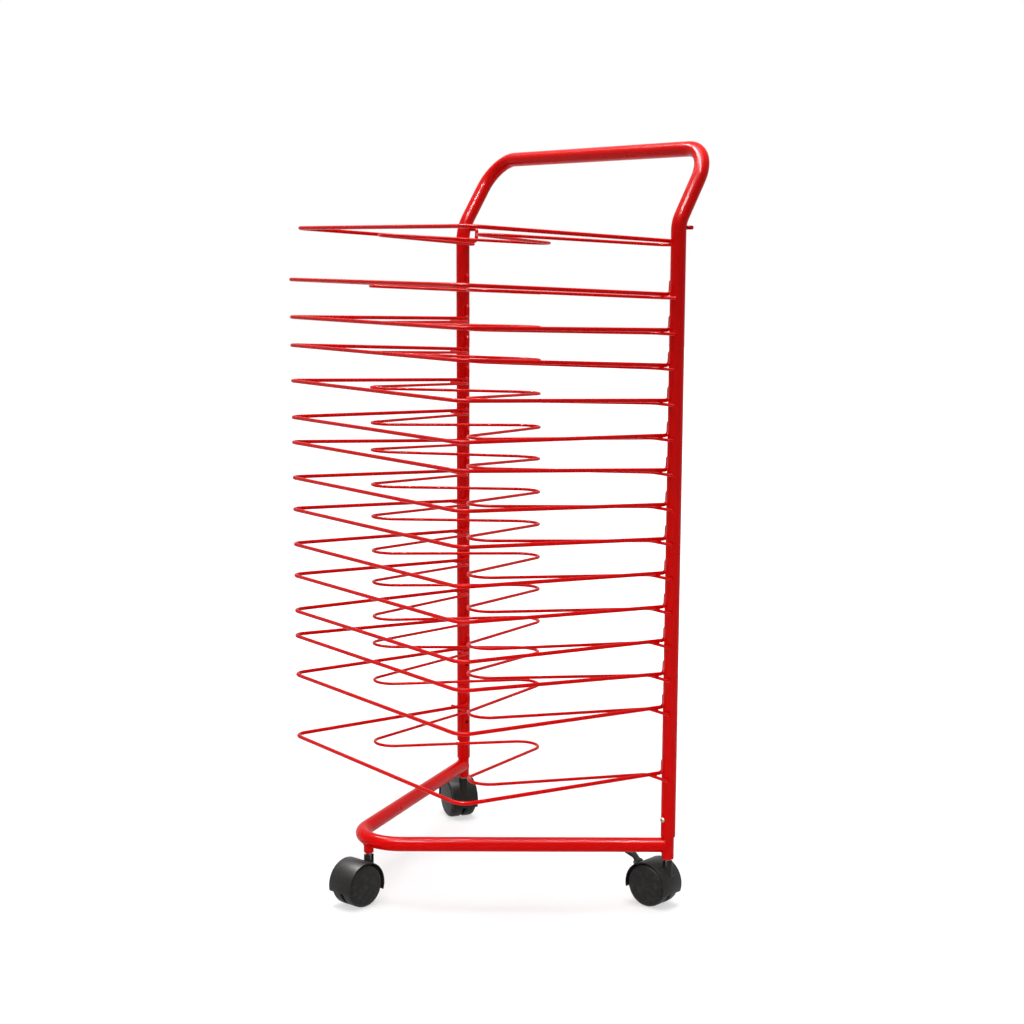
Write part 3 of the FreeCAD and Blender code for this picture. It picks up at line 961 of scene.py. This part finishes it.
@dataclass(frozen=True)
class Softbox:
    """One rectangular studio lamp, with or without a grid that narrows its beam."""

    name: str
    place: tuple[float, float, float]
    aim: tuple[float, float, float]
    size: tuple[float, float]
    power: float
    use: LampUse = LampUse.KEY
    beam_deg: float = 180.0

    def build(self) -> None:
        """Makes the lamp and turns it toward its aim."""
        data = bpy.data.lights.new(self.name, "AREA")
        data.shape = "RECTANGLE"
        data.size, data.size_y = self.size
        data.energy = self.power
        data.spread = math.radians(self.beam_deg)
        lamp = bpy.data.objects.new(self.name, data)
        lamp.visible_diffuse = self.use is not LampUse.HIGHLIGHT
        lamp.visible_glossy = self.use is not LampUse.FILL
        bpy.context.scene.collection.objects.link(lamp)
        lamp.location = self.place
        toward = Vector(self.aim) - Vector(self.place)
        lamp.rotation_euler = toward.to_track_quat("-Z", "Y").to_euler()


@dataclass(frozen=True)
class Studio:
    """A white floor under a soft white dome, with a softbox and two lamp strips above the rack."""

    floor_radius: float = 14.0
    floor_sides: int = 96
    # The dome is dim at the horizon and bright overhead.
    horizon_strength: float = 0.12
    zenith_strength: float = 1.0
    rise_power: float = 2.0
    lamps: Sequence[Softbox] = (
        Softbox("top_softbox", (0.0, -0.3, 3.2), (0.0, -0.2, 0.4), (2.0, 2.0), 80.0),
        Softbox("low_softbox", (1.5, -1.5, 0.5), (0.1, -0.2, 0.05), (0.8, 0.5), 1.4, LampUse.FILL, 50.0),
        Softbox("near_strip", (0.8, -1.45, 2.5), (0.8, -1.45, 0.0), (1.3, 0.3), 170.0, LampUse.HIGHLIGHT),
        Softbox("far_strip", (-0.12, -0.5, 2.5), (-0.12, -0.5, 0.0), (3.2, 0.3), 420.0, LampUse.HIGHLIGHT),
    )

    def build(self) -> None:
        """Makes the floor, the dome and the lamps."""
        self.lay_floor()
        self.light_dome()
        for lamp in self.lamps:
            lamp.build()
        bpy.context.scene.view_settings.view_transform = "Standard"

    def lay_floor(self) -> None:
        """Lays a round white floor under the rack."""
        bpy.ops.object.select_all(action="DESELECT")
        bpy.ops.mesh.primitive_circle_add(
            vertices=self.floor_sides,
            radius=self.floor_radius,
            fill_type="NGON",
            location=(0, 0, 0),
        )
        floor = bpy.context.active_object
        floor.name = "studio_floor"
        floor.data.materials.append(StudioWhite().build())

    def light_dome(self) -> None:
        """Lights the scene softly from above; rays that show the dome see pure white."""
        world = bpy.data.worlds.new("studio_dome")
        bpy.context.scene.world = world
        world.use_nodes = True
        tree = world.node_tree
        tree.nodes.clear()
        toward = add_node(tree, "ShaderNodeTexCoord").outputs["Generated"]
        height = add_node(tree, "ShaderNodeSeparateXYZ", links={0: toward}).outputs["Z"]
        rise = add_node(tree, "ShaderNodeMath", {1: self.rise_power}, {0: height}, operation="POWER")
        glow = add_node(
            tree,
            "ShaderNodeMapRange",
            {"To Min": self.horizon_strength, "To Max": self.zenith_strength},
            {"Value": rise.outputs[0]},
        )
        strength = add_node(
            tree,
            "ShaderNodeMath",
            links={0: glow.outputs["Result"], 1: rays_that_show(tree)},
            operation="MAXIMUM",
        )
        dome = add_node(
            tree,
            "ShaderNodeBackground",
            {"Color": WHITE},
            {"Strength": strength.outputs[0]},
        )
        add_node(tree, "ShaderNodeOutputWorld", links={"Surface": dome.outputs[0]})


def main() -> None:
    """Builds the rack's looks and the studio round it."""
    logging.basicConfig(level=logging.INFO, format="%(name)s: %(message)s")
    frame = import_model()
    View().build()
    Studio().build()
    finishes = Finishes.build()
    dresser = Dresser(frame)
    TubeFrame(dresser, finishes).build()
    shelves = [body for body in frame["bodies"] if body.startswith("shelf_")]
    for number in range(1, len(shelves) + 1):
        WireShelf(dresser, finishes, number).build()
    for place in CastorPlace:
        Castor(dresser, finishes, place, braked=place is CastorPlace.RIGHT).build()


if __name__ == "__main__":
    main()
